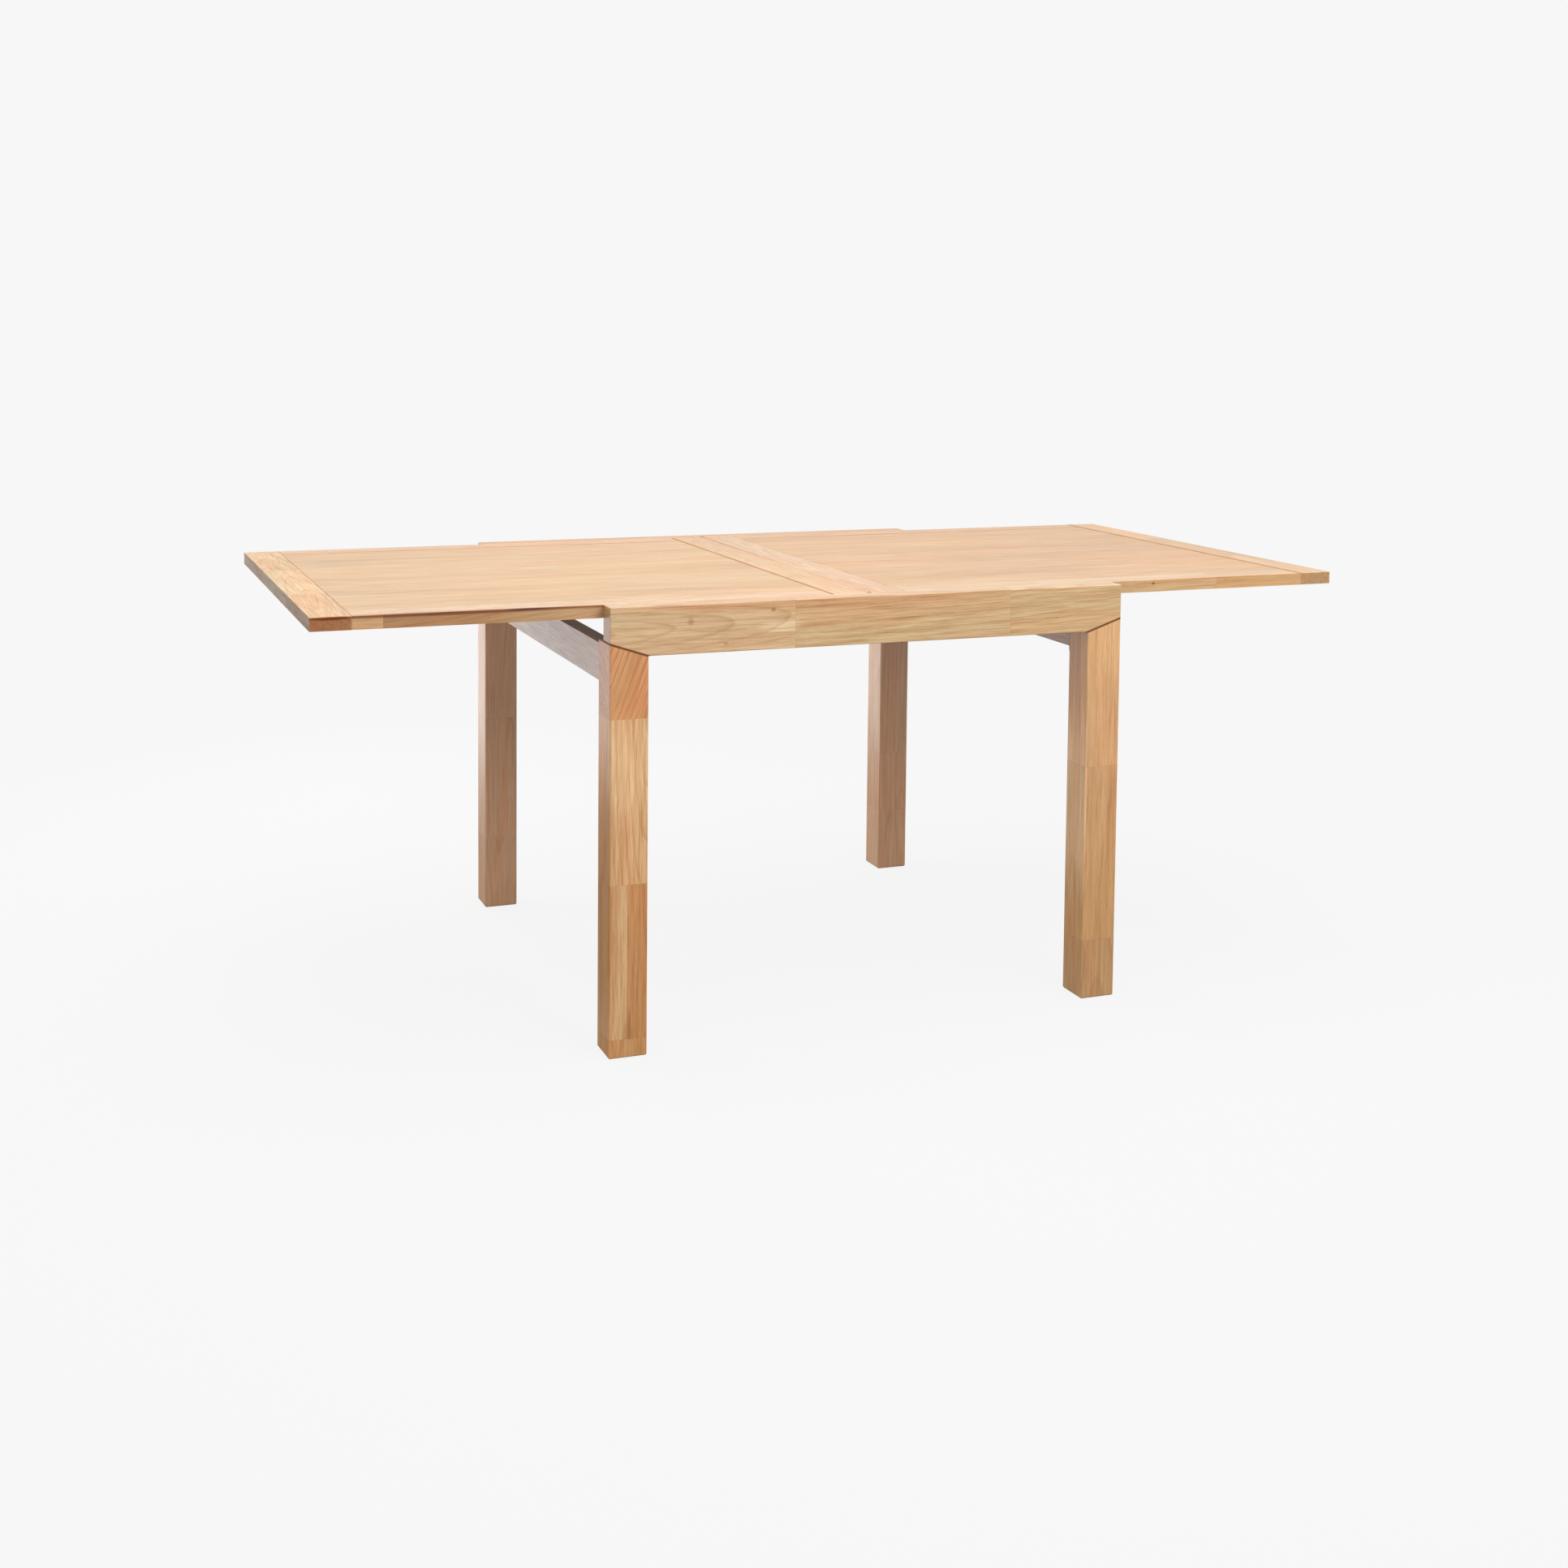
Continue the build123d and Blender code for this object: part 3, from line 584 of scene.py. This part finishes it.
LEFT_JOINTS = (0.033, 0.291, 0.566)  # heights of the butt joints in the front legs
RIGHT_JOINTS = (0.108, 0.424)
left_mid = (leg_low.x + leg_high.x) / 2
leg_blocks = {
    "leg_front_left": [
        Block(LEFT_JOINTS[0], (0.82, 0.46, 0.21), (left_mid, -0.42)),
        Block(LEFT_JOINTS[1], (0.86, 0.555, 0.29), (left_mid, -0.40), (0.0, 0.02)),
        Block(LEFT_JOINTS[2], (0.885, 0.537, 0.278), (leg_high.x, front_y + 0.0055),
              (0.0, -0.11), LEFT_JOINTS[2]),
        Block(leg_high.z, RUSSET, (left_mid, -0.38), (0.0, 0.05), slant=0.36),
    ],
    "leg_front_right": [
        Block(RIGHT_JOINTS[0], (0.67, 0.41, 0.21), (-left_mid, -0.42), (0.0, 0.06)),
        Block(RIGHT_JOINTS[1], (0.735, 0.43, 0.197), (-left_mid + 0.02, -0.42), (0.02, 0.03)),
        Block(leg_high.z, (0.80, 0.475, 0.23), (-left_mid, -0.395), (0.0, 0.02), 0.5),
    ],
    "leg_back_left": random_blocks(
        random.Random(11), "leg_back_left", "Z", (0.21, 0.57, 1.0), [ROSE]),
    "leg_back_right": random_blocks(
        random.Random(12), "leg_back_right", "Z", (0.19, 0.375, 1.0), [ROSE]),
}
# The left face's tint is painted light: a pale painted sheen on the back legs and the front right
# leg, and painted shade on the front left leg.
leg_looks = {  # figure, fibres, and the left face's tint with its height and reach
    "leg_front_left": (1.1, 0.9, (0.76, 0.68, 0.54), 0.27, 0.30),
    "leg_front_right": (0.6, 0.9, (1.32, 1.53, 2.05), 0.36, 0.22),
    "leg_back_left": (0.6, 0.65, (1.06, 1.20, 1.32), 0.50, 0.50),
    "leg_back_right": (0.6, 0.65, (1.16, 1.34, 1.52), 0.50, 0.40),
}
# Painted light: the front faces of the front legs are painted paler where the light falls strongest.
painted_light_patches = {
    "leg_front_left": [((left_mid, front_y, 0.49), (0.10, 0.02, 0.11), (1.12, 1.235, 1.33), 1.0)],
    "leg_front_right": [((-left_mid, front_y, 0.67), (0.10, 0.02, 0.13), (1.10, 1.14, 1.18), 1.0)],
}

# The second block from the floor is glued from two strips; this is the one on the right
seam_x = leg_low.x + 0.47 * (leg_high.x - leg_low.x)
inlays = {
    "leg_front_left": (
        Vector((seam_x, -1.0, LEFT_JOINTS[0])),
        Vector((leg_high.x, 1.0, LEFT_JOINTS[1])),
        (0.73, 0.375, 0.157),
    ),
}
for number, (name, blocks) in enumerate(leg_blocks.items()):
    figure, fibres, tint, height, reach = leg_looks[name]
    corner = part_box(name)[0]
    # The mark on the left face is painted light: painted sheen, and painted shade on the front left
    # leg.
    left_sheen_and_shade = ((corner.x, corner.y, height), (0.004, 0.2, reach), tint, 1.0)
    dress(name, "Z", blocks, 12.0 + number, figure=figure, fibres=fibres,
          lines=mitre_lines(-1 if name.endswith("left") else 1),
          marks=[left_sheen_and_shade] + painted_light_patches.get(name, []), inlay=inlays.get(name))

for number, name in enumerate(("end_rail_left", "end_rail_right")):
    blocks = random_blocks(random.Random(21 + number), name, "Y", (0.4, 1.0), [ASH])
    # Their top faces lie in shade under the leaves and are painted nearly black: painted shade.
    dress(name, "Y", blocks, 17.0 + number, figure=0.7, top=(0.08, 0.03, 0.012))

# Hidden hardwood, planed and left bare
inner_grain = {
    "bearer_front": "X",
    "bearer_back": "X",
    "runner_front": "X",
    "runner_back": "X",
    "centre_stretcher": "Y",
    "leg_dowels": "Z",
    "corner_block_front_left": "Z",
    "corner_block_front_right": "Z",
    "corner_block_back_left": "Z",
    "corner_block_back_right": "Z",
}
for number, (name, grain) in enumerate(inner_grain.items()):
    blocks = random_blocks(random.Random(31 + number), name, grain, (1.0,), [BEECH])
    dress(name, grain, blocks, 23.0 + number, raw=True)


# ---------------------------------------------------------------------------
# Metal and plastic
# ---------------------------------------------------------------------------
SCRATCH = (300.0, 2600.0, 2600.0)
FINE_BUMP = 0.0001


def metal(name, tone, dull, rough):
    """Turned or rolled metal: fine scratches, dull patches and brighter rubbed spots."""
    g = Graph(name)
    at = g.node("TexCoord").outputs["Object"]
    scratch = g.stretched(g.split(at), SCRATCH, detail=3.0)
    patch = g.noise(at, scale=160.0, detail=3.0)
    colour = g.mix(g.smooth(patch, 0.35, 0.7, 0.0, 0.7), tone, dull)
    colour = g.mix(g.smooth(scratch, 0.55, 0.75, 0.0, 0.25), colour, tinted(tone, 1.15))
    scratched = g.smooth(scratch, 0.3, 0.7, rough, rough + 0.15)
    roughness = g.add(scratched, g.smooth(patch, 0.3, 0.7, 0.0, 0.1))
    return g.surface(colour, roughness, g.bump(scratch, 0.15, FINE_BUMP), Metallic=1.0)


def plastic(name, tone):
    """Moulded nylon with a fine grain and scuffed spots."""
    g = Graph(name)
    at = g.node("TexCoord").outputs["Object"]
    grain = g.noise(at, scale=1800.0, detail=2.0)
    scuff = g.noise(at, scale=120.0, detail=4.0)
    colour = g.mix(g.smooth(scuff, 0.45, 0.7, 0.0, 0.5), tone, tinted(tone, 1.6))
    roughness = g.smooth(scuff, 0.3, 0.7, 0.45, 0.62)
    return g.surface(colour, roughness, g.bump(grain, 0.2, FINE_BUMP), IOR=1.5)


fittings = {
    "brass": metal("brass_satin", (0.96, 0.83, 0.62), (0.88, 0.72, 0.50), 0.50),
    "steel": metal("steel_zinc", (0.62, 0.62, 0.64), (0.42, 0.42, 0.44), 0.32),
    "nylon": plastic("nylon_brown", (0.060, 0.040, 0.028)),
}
for entry in frame["record"]["subparts"]:
    if entry["material_slot"] in fittings:
        paint(entry["node"], fittings[entry["material_slot"]])


# ---------------------------------------------------------------------------
# Floor, light and camera
# ---------------------------------------------------------------------------
BACKDROP = 0.93  # the pale grey of the floor and of what lies behind it
AMBIENT = 0.54  # the light that comes from all round
WHITE = (1, 1, 1, 1)
FLOOR_HALF = 30.0
FLOOR_WHITE = (0.86, 0.86, 0.86, 1)
FLOOR_SHADE = 0.06  # how much of the seen floor takes shadows
FLOOR_BOUNCE = (0.38, 0.36, 0.34, 1)
FLOOR_SHEEN = (0.90, 0.93, 1.0, 1)
SHADE_FADE = (0.9, 2.6)  # metres from the middle over which the shadows end
SHEEN_FADE = (1.4, 2.5)  # and over which the mirrored floor brightens
SHEEN_RANGE = (0.14, 1.30)


def pale_floor():
    """A plain pale floor with faint shadows, which throws little light back up."""
    bpy.ops.mesh.primitive_plane_add(size=2 * FLOOR_HALF, location=(0, 0, 0))
    floor = bpy.context.object
    floor.name = "floor"
    g = Graph("floor_pale")
    x, y, _ = g.split(g.node("TexCoord").outputs["Object"])
    away = g.hypotenuse(x, y)
    ray = g.node("LightPath")

    # What the camera sees: an even glow that takes a little shadow near the table
    diffuse = g.node("BsdfDiffuse")
    diffuse.inputs["Color"].default_value = FLOOR_WHITE
    glow = g.node("Emission")
    glow.inputs["Color"].default_value = WHITE
    glow.inputs["Strength"].default_value = BACKDROP
    even = g.smooth(away, *SHADE_FADE, 1.0 - FLOOR_SHADE, 1.0)
    seen = g.mix_shaders(even, diffuse.outputs[0], glow.outputs[0])

    # What the wood's lacquer mirrors: dim underneath, bright far away
    sheen = g.node("Emission")
    sheen.inputs["Color"].default_value = FLOOR_SHEEN
    g.plug(sheen.inputs["Strength"], g.smooth(away, *SHEEN_FADE, *SHEEN_RANGE))
    bounce = g.node("BsdfDiffuse")
    bounce.inputs["Color"].default_value = FLOOR_BOUNCE
    unseen = g.mix_shaders(ray.outputs["Is Glossy Ray"], bounce.outputs[0], sheen.outputs[0])

    g.finish(g.mix_shaders(ray.outputs["Is Camera Ray"], unseen, seen))
    g.material.cycles.emission_sampling = "NONE"
    floor.data.materials.append(g.material)


def backdrop():
    """An even pale surround: BACKDROP where it is seen, AMBIENT as light."""
    world = bpy.data.worlds.new("studio")
    bpy.context.scene.world = world
    world.use_nodes = True
    tree = world.node_tree
    tree.nodes.clear()
    both = tree.nodes.new("ShaderNodeMixShader")
    for socket, strength in ((both.inputs[1], AMBIENT), (both.inputs[2], BACKDROP)):
        light = tree.nodes.new("ShaderNodeBackground")
        light.inputs["Color"].default_value = WHITE
        light.inputs["Strength"].default_value = strength
        tree.links.new(light.outputs[0], socket)
    ray = tree.nodes.new("ShaderNodeLightPath")
    output = tree.nodes.new("ShaderNodeOutputWorld")
    tree.links.new(ray.outputs["Is Camera Ray"], both.inputs[0])
    tree.links.new(both.outputs[0], output.inputs["Surface"])


def softbox(name, place, target, size, power, tint=(1, 1, 1), mirrored=True):
    """A square area light that faces a point."""
    data = bpy.data.lights.new(name, "AREA")
    data.shape = "SQUARE"
    data.size = size
    data.energy = power
    data.color = tint
    lamp = bpy.data.objects.new(name, data)
    bpy.context.scene.collection.objects.link(lamp)
    lamp.location = place
    lamp.visible_camera = False
    lamp.visible_glossy = mirrored
    lamp.rotation_mode = "QUATERNION"
    lamp.rotation_quaternion = (Vector(target) - Vector(place)).to_track_quat("-Z", "Y")


CAMERA_PLACE = (-1.3955, -3.5465, 1.2337)
CAMERA_YAW = math.radians(20.60)  # to the right of +Y
CAMERA_DIP = math.radians(3.93)  # below the horizon
CAMERA_ROLL = math.radians(0.50)
LENS = 45.79  # millimetres, like the sensor
SENSOR = 36.0
SHIFT = (0.0235, -0.2153)
CLIP = (0.05, 200.0)


def photo_camera():
    """The camera at the viewing angle of the photograph."""
    data = bpy.data.cameras.new("camera")
    data.sensor_width = SENSOR
    data.lens = LENS
    data.shift_x, data.shift_y = SHIFT
    data.clip_start, data.clip_end = CLIP
    camera = bpy.data.objects.new("camera", data)
    bpy.context.scene.collection.objects.link(camera)
    level = Vector((math.cos(CAMERA_YAW), -math.sin(CAMERA_YAW), 0))
    ahead = Vector((math.sin(CAMERA_YAW) * math.cos(CAMERA_DIP),
                    math.cos(CAMERA_YAW) * math.cos(CAMERA_DIP),
                    -math.sin(CAMERA_DIP)))
    above = level.cross(ahead)
    right = math.cos(CAMERA_ROLL) * level + math.sin(CAMERA_ROLL) * above
    up = math.cos(CAMERA_ROLL) * above - math.sin(CAMERA_ROLL) * level
    turn = Matrix((right, up, -ahead)).transposed()
    camera.matrix_world = Matrix.Translation(CAMERA_PLACE) @ turn.to_4x4()
    bpy.context.scene.camera = camera


table_top = (0, 0, 0.7)
pale_floor()
backdrop()
softbox("top_light", (0.0, -0.3, 3.2), table_top, size=3.0, power=70.0)
softbox("front_light", (0.9, -3.4, 2.3), table_top, size=1.6, power=50.0, mirrored=False)
softbox("left_light", (-2.6, 1.8, 1.1), (0, 0, 0.6), size=1.2, power=30.0,
        tint=(0.86, 0.93, 1.0), mirrored=False)
softbox("back_light", (-0.9, 2.4, 0.9), (0, 0, 0.5), size=0.8, power=22.0,
        tint=(0.94, 0.97, 1.0), mirrored=False)
photo_camera()
bpy.context.scene.view_settings.view_transform = "Standard"
bpy.context.scene.view_settings.look = "None"
